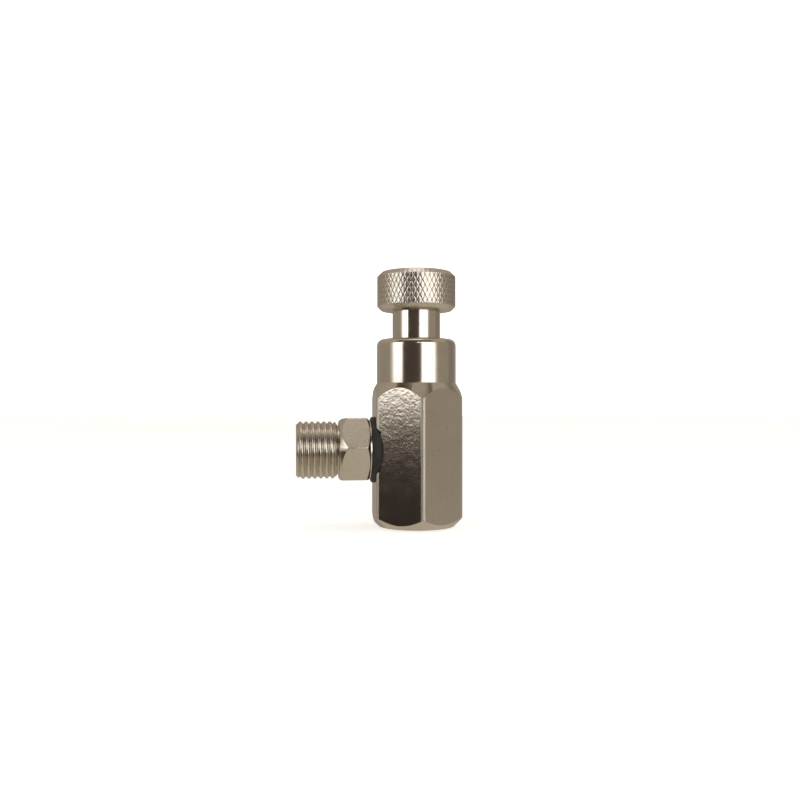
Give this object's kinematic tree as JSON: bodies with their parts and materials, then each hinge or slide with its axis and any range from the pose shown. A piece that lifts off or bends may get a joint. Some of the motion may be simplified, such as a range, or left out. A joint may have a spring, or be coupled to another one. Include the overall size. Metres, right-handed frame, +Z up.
{
  "type": "needle valve",
  "caption": "Angle needle valve: hexagon body with a female inlet below, a male threaded outlet nipple at the side and a knurled knob on a rising spindle.",
  "frame": {"origin": "centre of the inlet port's mouth, on the bottom face and on the stem axis", "axes": "+Z up the stem axis to the knob; the outlet nipple points along -X; the valve is drawn three turns open"},
  "size_m": [0.0394, 0.0236, 0.0617],
  "materials": {
    "body_nickel": "nickel plated, satin on the flats, polished where turned",
    "nipple_nickel": "nickel plated, satin",
    "knob_nickel": "nickel plated over a diamond knurl",
    "spindle_nickel": "nickel plated, polished",
    "stainless": "ground",
    "spring_steel": "oiled, dark",
    "screw_steel": "zinc plated",
    "bare_brass": "turned brass",
    "black_rubber": "moulded nitrile",
    "white_ptfe": "machined PTFE"
  },
  "bodies": {
    "valve": {"valve_body": "body_nickel", "seat_insert": "stainless", "seat_o_ring": "black_rubber", "outlet_nipple": "nipple_nickel", "nipple_seal_ring": "black_rubber", "packing_washer": "bare_brass", "spindle_o_ring_lower": "black_rubber", "backup_ring": "white_ptfe", "spindle_o_ring_upper": "black_rubber", "gland_nut": "bare_brass", "wiper_ring": "white_ptfe"},
    "needle_slide": {"needle": "stainless", "thrust_ball": "stainless"},
    "spindle_turn": {"spindle": "spindle_nickel", "needle_clip": "spring_steel", "knob": "knob_nickel", "knob_lock_washer": "spring_steel", "knob_screw": "screw_steel"}
  },
  "joints": [
    {"name": "spindle_lift", "type": "slide", "parent": "valve", "child": "needle_slide", "axis": [0, 0, 1], "range_m": [-0.003, 0.002]},
    {"name": "knob_turn", "type": "hinge", "parent": "needle_slide", "child": "spindle_turn", "pos_m": [0, 0, 0.05], "axis": [0, 0, 1], "range_deg": [-1080, 720]}
  ],
  "couplings": [
    {"joint": "knob_turn", "follows": "spindle_lift", "rad_per_m": 6283.2}
  ]
}
